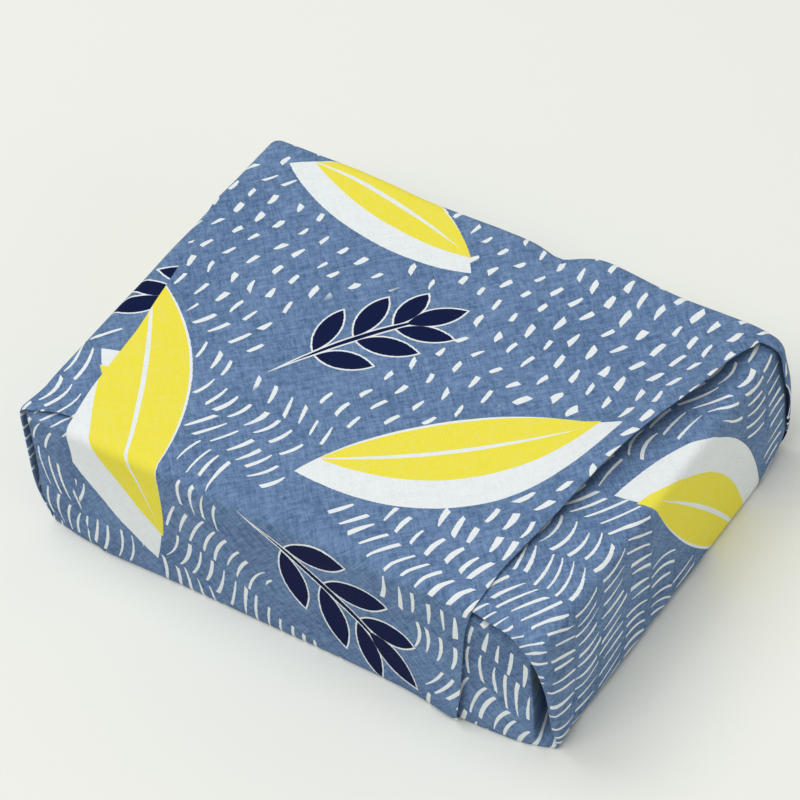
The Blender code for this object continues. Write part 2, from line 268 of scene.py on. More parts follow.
def laid(sharp, height):
    """Where the cloth lies: on the rounded box, swollen and creased, at a height out from it."""
    places, out = rounded(sharp)
    bulged = swollen(places)
    return bulged + out * (height + creased(places))[..., None]


top_middle = laid(np.array([[0.0, 0.0, TOP]]), np.zeros(1))[0]
print(f"the cloth at the middle of the top lies at {1000 * top_middle[2]:.1f} mm")

# %% [markdown]
# ## A folded edge
#
# A flap's edge is not a cut edge but a fold: the cloth turns through half a circle and runs back
# under itself.  So each row of a flap's mesh starts under the flap, goes round the fold and comes
# out on top.  For every column the helper gives three lengths: how far in from the edge it lies,
# how far below the flap's top it lies, and where it is on the flat cloth, so that the print runs
# round the fold unbroken.  Where two folds meet, the radius goes to nothing and the fold ends in
# a point, as a pinched corner does.

# %% Folded edges
Column = namedtuple("Column", "inward below flat")
FOLD_TURNS = np.radians((-90, -60, -30, 0, 30, 60))
UNDER_COLUMNS, UNDER_CROWD = 9, 1.5  # the hidden ply's columns, closer together near the fold
UNDER_SINK, SINK_OVER = 0.0007, 0.012  # it hangs a little lower, clear of the creases


def fold_columns(radius, under):
    """The columns of a fold, from the hidden end of its turned-under ply to its rounded top."""
    back = radius + under * np.linspace(1.0, 0.0, UNDER_COLUMNS + 1)[:-1] ** UNDER_CROWD
    inward = np.concatenate([back, radius * (1 - np.cos(FOLD_TURNS))])
    sunk = UNDER_SINK * risen(back, radius, SINK_OVER) * radius / FOLD_ROUND
    below = np.concatenate([-2 * radius - sunk, radius * (np.sin(FOLD_TURNS) - 1)])
    flat = np.concatenate([(2 - math.pi) * radius - back, radius * (1 - math.pi / 2 + FOLD_TURNS)])
    return Column(inward, below, flat)


def strip(outer, left=None, right=None):
    """(across, flat, below) of a row: its outer ply, and a fold at either edge, as (edge, fold)."""
    parts = [(outer, outer, 0 * outer)]
    if left:
        edge, fold = left
        parts.insert(0, (edge + fold.inward, edge + fold.flat, fold.below))
    if right:
        edge, fold = right
        columns = (edge - fold.inward, edge - fold.flat, fold.below)
        parts.append([column[::-1] for column in columns])
    return [np.concatenate(part) for part in zip(*parts)]


print("columns in a folded edge:", len(fold_columns(FOLD_ROUND, 0.05).inward))


# %% Rows and columns of a mesh
HALF_EDGE_TURNS = np.radians(range(0, 46, 9))
STEP = 0.0024  # from one row or column to the next, where nothing is finer


def edge_rows(corner):
    """Mesh rows that turn round one edge of the box."""
    turns = [EDGE_RADIUS * (1 - math.tan(angle)) for angle in HALF_EDGE_TURNS]
    return sorted({corner - turn for turn in turns} | {corner + turn for turn in turns})


def filled(marks, step):
    """The marks in order, with more between them wherever they lie over a step apart."""
    marks = sorted(marks)
    rows = [marks[0]]
    for low, high in zip(marks, marks[1:]):
        parts = max(1, round((high - low) / step))
        rows += [low + (high - low) * part / parts for part in range(1, parts + 1)]
    return np.array(rows)


print("rows round an edge:", len(edge_rows(TOP)))

# %% [markdown]
# ## One sheet from its patches
#
# The cloth is built as patches that share their edges: the part under the box, and the four
# corners.  You could make each patch an object and join them, but a small builder that keeps one
# mesh is simpler.  Beside each point's place it keeps the point's spot on the flat cloth, in a UV
# map named "cloth", because the weave and the print belong to the flat cloth and not to the box.


# %% The sheet builder
WELD, SLIVER = 2e-6, 1e-6  # points this close are one, and edges this short go


class Sheet:
    """One mesh that grids of points are added to, each with its spots on the flat cloth."""

    def __init__(self):
        self.mesh = bmesh.new()
        self.cloth = self.mesh.loops.layers.uv.new("cloth")

    def add(self, places, flats):
        rows, columns = places.shape[:2]
        shifted = places + np.array(PARCEL_MIDDLE)
        verts = [[self.mesh.verts.new(place) for place in row] for row in shifted]
        for i in range(rows - 1):
            for j in range(columns - 1):
                spots = ((i, j), (i, j + 1), (i + 1, j + 1), (i + 1, j))
                face = self.mesh.faces.new([verts[a][b] for a, b in spots])
                face.smooth = True
                for loop, (a, b) in zip(face.loops, spots):
                    loop[self.cloth].uv = flats[a, b]

    def finish(self, name):
        bmesh.ops.remove_doubles(self.mesh, verts=self.mesh.verts, dist=WELD)
        bmesh.ops.dissolve_degenerate(self.mesh, edges=self.mesh.edges, dist=SLIVER)
        data = bpy.data.meshes.new(name)
        self.mesh.to_mesh(data)
        self.mesh.free()
        return into_scene(name, data)


# %% Columns across a strip of cloth
EDGE_MARKS = np.array([0.0, 0.8, 1.6, 2.4, 3.3, 4.3, 5.6, 7.2, 9.2, 11.6, 14.0, 16.5]) / 1000
NEAR_ZONE = EDGE_MARKS[-1]
BETWEEN = 2 * HALF_LENGTH - 2 * NEAR_ZONE
MIDDLE_SHARES = (filled([NEAR_ZONE, NEAR_ZONE + BETWEEN], STEP)[1:-1] - NEAR_ZONE) / BETWEEN
BACK_MARKS = np.concatenate([
    filled([NEAR_ZONE, 2 * HALF_DEPTH - NEAR_ZONE], STEP)[1:],
    2 * HALF_DEPTH - EDGE_MARKS[-2::-1],
])
POCKET_MARKS = np.arange(0.1042, 0.1174, 0.0006)  # finer columns beside the near right corner


def cross_columns(left, right, left_fold=0.0, right_fold=0.0):
    """The columns of a strip of cloth between two edges, finer near them, clear of their folds."""
    marks = np.maximum(EDGE_MARKS, left_fold)
    far_marks = np.maximum(EDGE_MARKS, right_fold)
    middle = left + NEAR_ZONE + MIDDLE_SHARES * (right - left - 2 * NEAR_ZONE)
    return np.concatenate([left + marks, middle, (right - far_marks)[::-1]])


def box_columns():
    return np.unique(np.round(np.append(cross_columns(-HALF_LENGTH, HALF_LENGTH), POCKET_MARKS), 6))


print("columns under the box:", len(box_columns()))

# %% [markdown]
# ## The last flap's edges
#
# The last flap makes the parcel's face, so its two folded edges matter most.  The table gives,
# for each way along the flap from the bottom of the back, how far each edge lies in from the
# ends of the parcel, and how high it lifts off what is below it.  The right edge is one long pull
# from the far corner, and it bridges the top by some millimetres.

# %% The last flap's table
Station = namedtuple("Station", "way left right lift_left lift_right")
WING_TOP, WING_LIFT = 0.0080, 0.0020  # the wing's width at the top edge, and how high it stands
LAST_FLAP = [
    Station(mark + past / 1000, *(np.array(edges) / 1000)) for mark, past, *edges in (
    # from a mark, so far past it: in from the left and the right end, and each edge's lift
    (BACK_FOOT, 0, 0, 0, 0, 0),
    (BACK_FOOT, 18, -3, 0, 0, 0),
    (BACK_FOOT, 34, -5, 0, 0.2, 0),
    (BACK_FOOT, 50, -6, 0, 0.2, 0),
    (BACK_TOP, 0, -1, 0, 0, 0),
    (BACK_TOP, 8, -3.8, 0, 0, 2),
    (BACK_TOP, 9.2, -3.8, 3.8, 0, 2.4),
    (BACK_TOP, 13, -3.7, 6.2, 0, 3),
    (BACK_TOP, 23, -3.2, 8.9, 0, 5.4),
    (BACK_TOP, 44, 0.8, 12, 0.1, 7.8),
    (BACK_TOP, 65, 6, 17.5, 0.2, 8.2),
    (BACK_TOP, 85, 9.8, 22, 0.2, 7.4),
    (BACK_TOP, 100, 12.3, 24.4, 0.2, 6),
    (BACK_TOP, 118, 15.3, 26.4, 0.2, 4.2),
    (BACK_TOP, 135, 17, 28.9, 0.2, 2.4),
    (BACK_TOP, 153, 18.4, 31.2, 0.2, 0.9),
    (FRONT_TOP, 0, 22.2, 31.2, 0.2, 0.4),
    (FRONT_TOP, 10, 23.2, 33.9, 0.2, 0.6),
    (FRONT_TOP, 25, 23, 35.7, 0.4, 1.2),
    (FRONT_TOP, 44, 25.6, 36.6, 0.6, 2.3),
    (FRONT_TOP, 55, 29.6, 37.5, 0.3, 2.1),
    (FRONT_BOTTOM, 0, 32, 38.8, 0, 0),
    (FRONT_BOTTOM, 27, 41, 47.8, 0, 0),
)]
TIP_WIDTH = 0.006
print(f"the right edge lifts by up to {1000 * max(row.lift_right for row in LAST_FLAP):.1f} mm")


# %% Where its edges are
def station(way):
    """The last flap's left and right edges, across from the middle, and how high they lift."""
    last = LAST_FLAP[-1]
    if way > last.way:
        share = (way - last.way) / (TIP - last.way)
        middle = (last.left - last.right) / 2
        half_width = (1 - share) * (HALF_LENGTH - (last.left + last.right) / 2)
        half_width = max(half_width, TIP_WIDTH / 2)
        return middle - half_width, middle + half_width, 0.0, 0.0
    ways = np.array([row.way for row in LAST_FLAP])
    left, right, lift_left, lift_right = (
        curve_through(ways, np.array([getattr(row, column) for row in LAST_FLAP]), way)
        for column in Station._fields[1:]
    )
    if way <= BACK_TOP + WING_TOP:
        right, lift_right = 0.0, WING_LIFT * risen(way, BACK_TOP, WING_TOP)
    return left - HALF_LENGTH, HALF_LENGTH - right, max(lift_left, 0.0), max(lift_right, 0.0)


print("edges at the front's top edge:", [round(float(x), 4) for x in station(FRONT_TOP)[:2]])

# %% [markdown]
# ## Under the box
#
# The middle of the cloth lies flat under the box, on one grid of points.  Where the last flap's
# tip is tucked in, it rises by a ply or two, so that the parcel still rests level.  The rise is
# worked out from the tip's own edges, so it follows them if the table changes.

# %% The underside
TUCK_RISE, TUCK_MARGIN, TUCK_SLOPE = 0.0010, 0.004, 0.012
UNDER_CLOTH = 0.003  # what lies lower than this rises


def tuck_rise(x, y):
    left, right, _, _ = station(min(FRONT_BOTTOM + y + HALF_DEPTH, TIP))
    past = np.maximum(np.maximum(left - x, x - right), y + HALF_DEPTH - (TIP - FRONT_BOTTOM))
    return TUCK_RISE * (1 - risen(past, TUCK_MARGIN, TUCK_SLOPE))


def underside(sheet):
    xs = box_columns()
    ys = np.concatenate([EDGE_MARKS, BACK_MARKS]) - HALF_DEPTH
    x, y = np.meshgrid(xs, ys)
    places = laid(np.stack([x, y, np.zeros_like(x)], axis=-1), np.zeros_like(x))
    for row, depth in enumerate(ys):
        places[row, :, 2] += tuck_rise(xs, depth) * (places[row, :, 2] < UNDER_CLOTH)
    sheet.add(places[::-1], np.stack([x, y], axis=-1)[::-1])
    return len(xs), len(ys)


sheet = Sheet()
print("underside columns and rows:", underside(sheet))

# %% [markdown]
# ## Where the end corners' edges run
#
# The near edge of each end corner is a fold that comes up the end, rounds the corner and goes
# inwards over the top.  You could draw it as a curve, but the first corner has to sink a little
# under it, so a function that both can ask is handier.  The right edge rounds the near corner in
# a wide bow, a quarter of an ellipse; the left one is drawn in tight.

# %% The end flaps' near edges
# its side; how far it hangs over the front's top edge, and how that changes inwards; its bow's
# size; how far its upright stretch lies in, from where and over how much; the lip's lift; 1 if
# it flares; its reach over the top, where it begins to sink, and where the last flap covers it
EndFlap = namedtuple(
    "EndFlap", "side hang slope bow upright rise_from rise_over lift flare reach sink_from covered"
)
LEFT = EndFlap(
    side=-1, hang=-0.0018, slope=-0.24, bow=0.0030, upright=-0.0014, rise_from=0.0,
    rise_over=0.008, lift=0.0014, flare=0, reach=0.200, sink_from=0.050, covered=0.0255,
)
RIGHT = EndFlap(
    side=1, hang=0.0010, slope=-0.10, bow=0.0193, upright=0.0022, rise_from=0.031,
    rise_over=0.017, lift=0.0012, flare=1, reach=0.150, sink_from=1.0, covered=0.032,
)
MOST_HANG = 0.0062
BOW_FULLNESS = 0.90  # 1 is a quarter of an ellipse, and less is nearer a straight line


def near_edge_of(flap, way):
    """The near folded edge of an end flap: (in from the end, down from the top, back)."""
    turn = float(np.clip((way - TOP + flap.bow) / (2 * flap.bow), 0.0, 1.0))
    upright = flap.upright * float(risen(way, flap.rise_from, flap.rise_over))
    if turn <= 0:
        return upright, TOP - way
    if turn >= 1:
        inward = way - TOP
        return inward, max(flap.hang + flap.slope * (inward - flap.bow), -MOST_HANG)
    across = (1 - math.cos(turn * math.pi / 2)) ** (1 / BOW_FULLNESS)
    drop = 1 - math.sin(turn * math.pi / 2) ** BOW_FULLNESS
    return (
        upright + (flap.bow - upright) * across,
        flap.hang + (flap.bow - flap.hang) * drop,
    )


print("the right bow's middle, in and down:", [round(x, 4) for x in near_edge_of(RIGHT, TOP)])

# %% [markdown]
# ## The near corner
#
# The first corner goes up the front and over the top.  Only its two ends show, left and right of
# the last flap.  At the upright edges it turns round the corner and disappears under the end
# flaps.  Nothing holds it out beside the near right corner, so it sinks in there: just under the
# right flap's bow, which leaves a line of shade, and deeper in a pocket beside the upright fold,
# which is the dark hollow there.  Both are pushes on the finished points, each with soft borders.

# %% Where the first flap sinks
# the slack beside the left end: its X and Z, how far it reaches, and how deep it is
SLACK_AT, SLACK_REACH, SLACK_DEPTH = (-0.120, 0.034), (0.006, 0.026), 0.0008

# the pocket: where its lip lies at each height, how softly it turns in, and which way it goes
POCKET_HEIGHTS = np.array([0.0, 0.010, 0.020, 0.030, 0.040, 0.050])
POCKET_LIPS = np.array([0.1130, 0.1132, 0.1134, 0.1128, 0.1124, 0.1132])
POCKET_SOFT, POCKET_ROUND = 0.0018, 0.0048
POCKET_PUSH = (-0.0130, 0.0280, 0.0)

# the dip under the right flap's bow: its depth, how far below the edge it is, and how soft
BOW_DIP, BOW_DIP_BELOW, BOW_DIP_SOFT = 0.0060, 0.0036, 0.0012
BOW_INWARD, BOW_DOWN = np.transpose(
    [near_edge_of(RIGHT, way) for way in np.linspace(0.0, TOP + 0.040, 60)]
)


def slack(places, way):
    """How far the front sinks back beside the left end."""
    away = np.sum(((places[..., ::2] - SLACK_AT) / SLACK_REACH) ** 2, axis=-1)
    at_front = risen(-places[..., 1], HALF_DEPTH - 0.020, 0.015)
    return SLACK_DEPTH * np.exp(-away) * at_front * risen(way, 0.0, 0.008)


def in_pocket(x, way, height):
    """How far into the pocket a point is, from 0 at its lip to 1; it fades at foot and head."""
    lip = np.interp(height, POCKET_HEIGHTS, POCKET_LIPS)
    share = risen(x, lip - POCKET_SOFT, POCKET_ROUND) * risen(height, 0.002, 0.008)
    return share * (1 - risen(height, 0.036, 0.014)) * (1 - risen(way, TOP, 0.004))


def under_bow(x, way):
    """1 just under the right flap's bow, fading over the top and at both of its ends."""
    edge = TOP - np.interp(HALF_LENGTH - x, BOW_INWARD, BOW_DOWN)
    share = risen(way, edge - BOW_DIP_BELOW, BOW_DIP_SOFT) * (1 - risen(way, TOP + 0.006, 0.004))
    return share * risen(x, HALF_LENGTH - 0.036, 0.004) * (1 - risen(x, HALF_LENGTH - 0.003, 0.003))


print("the bow's edge was followed at", len(BOW_DOWN), "points")

# %% The first flap
PAST_END = np.array([1.2, 2.4, 3.8, 6.0, 10.0, 16.0, 26.0, 40.0, 56.0]) / 1000
FIRST_REACH, COARSE_ROWS = 0.166, 16  # over the top
FIRST_LIE, FIRST_SUNK = 0.0009, 0.0010  # how high it lies where it shows, and how low elsewhere
END_SUNK, MOST_DOWN = 0.0003, 0.050  # past the upright edges


def first_flap(sheet):
    ways = filled([0.0, EDGE_RADIUS] + edge_rows(TOP) + [TOP + 0.012], STEP)
    over_top = np.linspace(TOP + 0.020, TOP + FIRST_REACH, COARSE_ROWS)
    across = [-HALF_LENGTH - PAST_END[::-1], box_columns(), HALF_LENGTH + PAST_END]
    x, way = np.meshgrid(np.concatenate(across), np.concatenate([ways, over_top]))
    past = np.maximum(np.abs(x) - HALF_LENGTH, 0.0)
    on_top = way > TOP
    y = np.where(on_top, -HALF_DEPTH + (way - TOP), -HALF_DEPTH + past)
    z = np.where(on_top, TOP - np.minimum(past, MOST_DOWN), way)
    sharp = np.stack([np.clip(x, -HALF_LENGTH, HALF_LENGTH), y, z], axis=-1)
    _, out = rounded(sharp)
    shows = risen(np.abs(x), HALF_LENGTH - 0.060, 0.020) * (1 - risen(way, TOP + 0.010, 0.015))
    rise = FIRST_LIE * shows - FIRST_SUNK * (1 - shows)
    sunk = END_SUNK * risen(past, 0.0, 0.002)
    places = laid(sharp, rise * np.maximum(out[..., 2], 0.0) ** 2 - sunk)
    places[..., 1] += slack(places, way)
    places += in_pocket(x, way, places[..., 2])[..., None] * np.array(POCKET_PUSH)
    places -= out * (BOW_DIP * under_bow(x, way))[..., None]
    sheet.add(places, np.stack([x, -HALF_DEPTH - way], axis=-1))
    return x.shape


print("first flap rows and columns:", first_flap(sheet))

# %% [markdown]
# ## The two end corners
#
# The left and right corners come straight up the ends and over the top.  Each row of their mesh
# starts under the near fold, goes round it, runs back along the end and turns a little round the
# far corner.  The right one's edge flares off the end near its foot and stands off the front.
# Their far parts are hidden under the last flap, so the mesh is coarse there.

# %% The end flaps' shape
TURNED_UNDER = 0.060
BACK_WRAP = np.array([1.5, 3.0, 5.0, 8.0, 13.0, 21.0, 32.0, 46.0]) / 1000
WRAP_SUNK, HIDDEN_SUNK = 0.0009, 0.0004
LIP_REACH, END_LIE = 0.016, 0.0016
BOW_STEP, HIDDEN_ROWS = 0.0009, 14
# how far the right one's edge flares off the end and off the front, on its way up
FLARE_WAYS = np.array([0, 5, 10, 15, 20, 26, 32, 38, 44, 50, 55, 60, 68, 76, 88]) / 1000
FLARE_OUT = np.array([0, 5, 17, 21, 14, 8, 1, 0, 0, 0, 0, 0, 0, 0, 0]) / 10000
FLARE_FORWARD = np.array([0, -4, 7, 19, 22, 22, 22, 22, 20, 16, 12, 9, 7, 5, 0]) / 10000


def foot_share(way):
    """How far a flap's folds have grown, from nothing at the foot of its side."""
    return float(risen(way, 0.0, 0.006))


def end_points(flap, way, back):
    """The sharp box's points under an end flap: up the end, over the top, round the back."""
    past = np.maximum(back - 2 * HALF_DEPTH, 0.0)
    y = np.minimum(back - HALF_DEPTH, HALF_DEPTH)
    inward = past if way < TOP else np.full_like(back, way - TOP)
    z = np.full_like(back, way) if way < TOP else TOP - past
    return np.stack([flap.side * (HALF_LENGTH - inward), y, z], axis=-1)


def end_flap_ways(flap):
    bow = [TOP - flap.bow, TOP + flap.bow]
    return np.concatenate([
        filled([0.0, EDGE_RADIUS, bow[0]], STEP),
        filled(bow + edge_rows(TOP), BOW_STEP)[1:],
        filled([bow[1], TOP + 0.046], STEP)[1:],
        np.linspace(TOP + 0.052, TOP + flap.reach, HIDDEN_ROWS),
    ])


print("rows of the two end flaps:", len(end_flap_ways(LEFT)), len(end_flap_ways(RIGHT)))


# %% The end flaps
def end_flap_row(flap, way):
    """The places and the flat spots of one row of an end flap."""
    foot = foot_share(way)
    radius = FOLD_ROUND * foot
    fold = fold_columns(radius, TURNED_UNDER * foot)
    inward, down = near_edge_of(flap, way)
    corner = end_points(flap, way, np.array([0.0]))[0]
    edge = corner.copy()
    hang = inward
    if inward >= 0:
        edge[0] = flap.side * (HALF_LENGTH - inward)
        edge[2] = TOP - max(down, 0.0)
        hang = math.dist(edge, corner)
    if down < 0:
        hang = down
    near = -hang + (NEAR_ZONE + hang) * np.maximum(EDGE_MARKS, radius) / NEAR_ZONE
    outer = np.concatenate([near, BACK_MARKS, 2 * HALF_DEPTH + BACK_WRAP])
    back, flat, below = strip(outer, left=(-hang, fold))
    sharp = end_points(flap, way, np.maximum(back, 0.0))
    if hang > 0:
        sharp = sharp + (edge - corner) * np.clip(-back / hang, 0.0, 1.0)[:, None]
    _, out = rounded(sharp)
    up = np.maximum(out[:, 2], 0.0) ** 2
    lie = (FOLD * (1 - np.minimum(out[:, 2], 0.0) ** 2 - up) + END_LIE * up) * foot
    hidden = risen(way, TOP + flap.sink_from, 0.040)
    lie = lie * (1 - hidden) - HIDDEN_SUNK * hidden
    near_edge = smooth(1 - (back + hang) / LIP_REACH)
    lift = flap.lift * near_edge * risen(way, 0.010, 0.020)
    lift = lift * (1 - risen(way, TOP + flap.covered - 0.008, 0.006))
    wrapped = np.where(back > 2 * HALF_DEPTH, -WRAP_SUNK * foot, 0.0)
    places = laid(sharp, lie + lift + below + wrapped)
    places[:, 0] += flap.flare * near_edge * np.interp(way, FLARE_WAYS, FLARE_OUT)
    places[:, 1] -= flap.flare * near_edge * np.interp(way, FLARE_WAYS, FLARE_FORWARD)
    along = np.full_like(back, flap.side * (HALF_LENGTH + way))
    return places, np.stack([along, flat - HALF_DEPTH], axis=-1)


def end_flap(sheet, flap):
    rows = [end_flap_row(flap, way) for way in end_flap_ways(flap)]
    places, flats = (np.array(part)[:, :: flap.side] for part in zip(*rows))
    sheet.add(places, flats)
    return places.shape[:2]


print("left flap:", end_flap(sheet, LEFT), "right flap:", end_flap(sheet, RIGHT))

# %% [markdown]
# ## The last corner
#
# The far corner comes up the back, wraps a little round both ends, crosses the top with its
# sides folded under, runs down the front and ends in a hemmed point underneath.  Round the far
# right corner it has a small wing on the end: that is a patch of its own, whose top row is sewn
# to the main patch along the parcel's edge, so that the fold turns the corner cleanly.  One patch
# with a kink in it would be shorter to write, but its fold would smear round the corner.

# %% The last flap's shape
LIFT_REACH = 0.026  # how much of the flap's width a lifted edge takes with it
UNDER_MOST, UNDER_SHARE = 0.095, 0.45  # how wide the hidden plies are, at most
HEM, HEM_ROUND = 0.008, 0.0002
PINCH = 0.005  # how long a fold takes to open from its pinched end
NARROW = 0.05  # a strip narrower than this has its columns evenly spread


def on_last_flap(across, way):
    past = np.maximum(np.abs(across) - HALF_LENGTH, 0.0)
    x = np.clip(across, -HALF_LENGTH, HALF_LENGTH)
    level = np.zeros_like(across)
    if way <= BACK_TOP:
        y, z = HALF_DEPTH - past, level + way
    elif way <= FRONT_TOP:
        y, z = level + HALF_DEPTH - (way - BACK_TOP), BACK_TOP - past
    elif way <= FRONT_BOTTOM:
        y, z = level - HALF_DEPTH, level + FRONT_BOTTOM - way
    else:
        y, z = level - HALF_DEPTH + (way - FRONT_BOTTOM), level
    return np.stack([x, y, z], axis=-1)


def last_lie(out):
    """How high the last flap lies: over one flap at the back and front, and over two elsewhere."""
    return FOLD * (out[..., 1] ** 2 + 2 * np.maximum(out[..., 2], 0.0) ** 2 + 2 * out[..., 0] ** 2)


def open_columns(left, right, left_round, right_round):
    if right - left > NARROW:
        return cross_columns(left, right, left_round, right_round)
    count = len(EDGE_MARKS) * 2 + len(MIDDLE_SHARES)
    return np.linspace(left + left_round, right - right_round, count)


print(f"the flap is {1000 * np.ptp(station(FRONT_BOTTOM)[:2]):.0f} mm wide where it goes under")


# %% The last flap
def last_flap_row(way, start, right_fold):
    left, right, lift_left, lift_right = station(way)
    foot = foot_share(way)
    width = right - left
    under = min(max(TIP - way - width / 2, HEM), UNDER_MOST, UNDER_SHARE * width)
    hemmed = float(risen(way, FRONT_BOTTOM - 0.002, 0.012))
    radius = (FOLD_ROUND + (HEM_ROUND - FOLD_ROUND) * hemmed) * foot
    pinch = float(risen(way, start, PINCH)) if right_fold else 0.0
    outer = open_columns(left, right, radius, radius * pinch)
    near_fold = left, fold_columns(radius, under * foot)
    far_fold = right, fold_columns(radius * pinch, under * pinch)
    across, flat, below = strip(outer, near_fold, far_fold if right_fold else None)
    sharp = on_last_flap(across, way)
    _, out = rounded(sharp)
    lift = lift_left * smooth(1 - (across - left) / LIFT_REACH)
    lift = lift + lift_right * smooth(1 - (right - across) / LIFT_REACH)
    places = laid(sharp, last_lie(out) * foot + lift + below)
    return places, np.stack([flat, np.full_like(flat, HALF_DEPTH + way)], axis=-1)


def add_rows(sheet, rows):
    places, flats = (np.array(part)[:, ::-1] for part in zip(*rows))
    sheet.add(places, flats)
    return places.shape[:2]


corners = [mark for corner in (BACK_TOP, FRONT_TOP, FRONT_BOTTOM) for mark in edge_rows(corner)]
pinched = np.array([0, 0.4, 0.8, 1.3, 1.9, 2.6, 3.5, 5]) / 1000 + BACK_TOP + WING_TOP
marks = [0.0, 0.001, 0.0025, EDGE_RADIUS, BACK_TOP, LAST_FLAP[-1].way, TIP, *corners, *pinched]
flap_ways = filled(marks, STEP)
CLOSE = 1e-9
first_ways = flap_ways[flap_ways <= pinched[0] + CLOSE]
later_ways = flap_ways[flap_ways >= pinched[0] - CLOSE]
first_rows = [last_flap_row(way, 0.0, right_fold=False) for way in first_ways]
later_rows = [last_flap_row(way, later_ways[0], right_fold=True) for way in later_ways]
print("last flap, back:", add_rows(sheet, first_rows))
print("last flap, top, front and tip:", add_rows(sheet, later_rows))

# %% The wing
WING_WAYS = np.array([0.0, 0.020, 0.033, 0.041, 0.047, 0.053, BACK_TOP])
WING_WIDTHS = np.array([0.0, 0.0044, 0.0052, 0.0062, 0.0072, 0.0080, WING_TOP])
WING_UNDER = 0.030
WING_LIFTS = 0.015  # the way up the end from which it lifts
wing_ways = first_ways[first_ways <= BACK_TOP + CLOSE]
wing_tops = first_ways[first_ways >= BACK_TOP - CLOSE] - BACK_TOP


def wing_row(way):
    width = float(np.interp(way, WING_WAYS, WING_WIDTHS))
    foot = foot_share(way)
    pinch = foot * float(smooth((BACK_TOP - way) / PINCH))
    radius = FOLD_ROUND * pinch
    fold = fold_columns(radius, WING_UNDER * pinch)
    outer = wing_tops * (width - radius) / WING_TOP
    past, flat, below = strip(outer, right=(width, fold))
    level = np.zeros_like(past)
    y = HALF_DEPTH - np.maximum(past, 0.0)
    sharp = np.stack([level + HALF_LENGTH, y, level + way], axis=-1)
    _, out = rounded(sharp)
    lift = WING_LIFT * float(risen(way, WING_LIFTS, BACK_TOP - WING_LIFTS))
    lift = lift * smooth(past / max(width, CLOSE))
    places = laid(sharp, last_lie(out) * foot + lift + below)
    return places, np.stack([HALF_LENGTH + flat, level + HALF_DEPTH + way], axis=-1)


print("wing:", add_rows(sheet, [wing_row(way) for way in wing_ways]))

# %% [markdown]
# ## The finished sheet
#
# The mesh is closed into one object: one square of cloth, held folded.  It stands for the imported
# parcel, and it rides on the one body.

# %% The finished sheet
wrap = sheet.finish("furoshiki_cloth")
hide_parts("furoshiki_wrap")
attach(wrap, "root")
area = sum(face.area for face in wrap.data.polygons)
print(f"{len(wrap.data.polygons)} faces, {area:.3f} of {CLOTH_SIDE**2:.3f} square metres")

# %% [markdown]
# ## Shader sums as plain expressions
#
# A print like this one is worked out by many small sums at every point of the cloth.  Wiring
# them by hand hides what they mean, and an image would blur close up.  Here one class wraps a
# socket, so that a sum in Python adds its Math nodes, and one method makes any other node.


# %% The class that wraps a socket
def sum_of(operation, swapped=False):
    """A method that adds one Math node, with its two values swapped for a reflected operator."""

    def method(self, *others):
        values = (self, *others)[:: -1 if swapped else 1]
        return self.material.node("ShaderNodeMath", {"operation": operation}, *values)

    return method


class Value:
    """A socket's value.  Sums on it add the nodes that work them out."""

    __add__ = __radd__ = sum_of("ADD")
    __mul__ = __rmul__ = sum_of("MULTIPLY")
    __sub__, __rsub__ = sum_of("SUBTRACT"), sum_of("SUBTRACT", swapped=True)
    __truediv__, __rtruediv__ = sum_of("DIVIDE"), sum_of("DIVIDE", swapped=True)
    __abs__, floor, sine, root = map(sum_of, ("ABSOLUTE", "FLOOR", "SINE", "SQRT"))
    at_least, at_most = sum_of("MAXIMUM"), sum_of("MINIMUM")

    def __init__(self, material, socket):
        self.material, self.socket = material, socket

    def wave(self, length, start=0.0):
        """A wave from -1 to 1 that turns by one radian over the length."""
        return (self * (1 / length) + start).sine()

    def between(self, low, high):
        """low where this is 0, and high where it is 1."""
        return self * (high - low) + low

    def ramp(self, low, high):
        """0 below low and 1 above high, with a smooth rise between (or a fall, if low is more)."""
        settings = {"interpolation_type": "SMOOTHSTEP"}
        return self.material.node("ShaderNodeMapRange", settings, self, low, high, 0.0, 1.0)


# %% The class that makes a material's nodes
class Material:
    def __init__(self, name):
        self.data = bpy.data.materials.new(name)
        self.data.use_nodes = True
        self.tree = self.data.node_tree
        self.shader = self.tree.nodes["Principled BSDF"]

    def set(self, socket, value):
        if isinstance(value, Value):
            self.tree.links.new(value.socket, socket)
        elif socket.type == "RGBA":
            socket.default_value = (*value, 1.0)
        else:
            socket.default_value = value

    def node(self, kind, settings=None, *values, out=None, **named):
        made = self.tree.nodes.new(kind)
        for name, setting in (settings or {}).items():
            setattr(made, name, setting)
        usable = [socket for socket in made.inputs if socket.enabled]
        for socket, value in zip(usable, values):
            self.set(socket, value)
        for name, value in named.items():
            self.set(next(s for s in usable if s.name == name.replace("_", " ")), value)
        outs = [socket for socket in made.outputs if socket.enabled]
        return Value(self, next(s for s in outs if out in (None, s.name)))

    def mixed(self, share, first, second):
        settings = {"data_type": "RGBA", "blend_type": "MIX"}
        return self.node("ShaderNodeMix", settings, share, first, second)

    def spot(self, x, y, z=0.0):
        return self.node("ShaderNodeCombineXYZ", None, x, y, z)

    def chances(self, x, y):
        """Three numbers from 0 to 1 that stay the same all over one cell."""
        settings = {"noise_dimensions": "2D"}
        colour = self.node("ShaderNodeTexWhiteNoise", settings, self.spot(x, y), out="Color")
        return [
            self.node("ShaderNodeSeparateColor", None, colour, out=name)
            for name in ("Red", "Green", "Blue")
        ]

    def noise(self, x, y, scale, detail):
        settings, spot = {"noise_dimensions": "2D"}, self.spot(x, y)
        return self.node("ShaderNodeTexNoise", settings, Vector=spot, Scale=scale, Detail=detail)


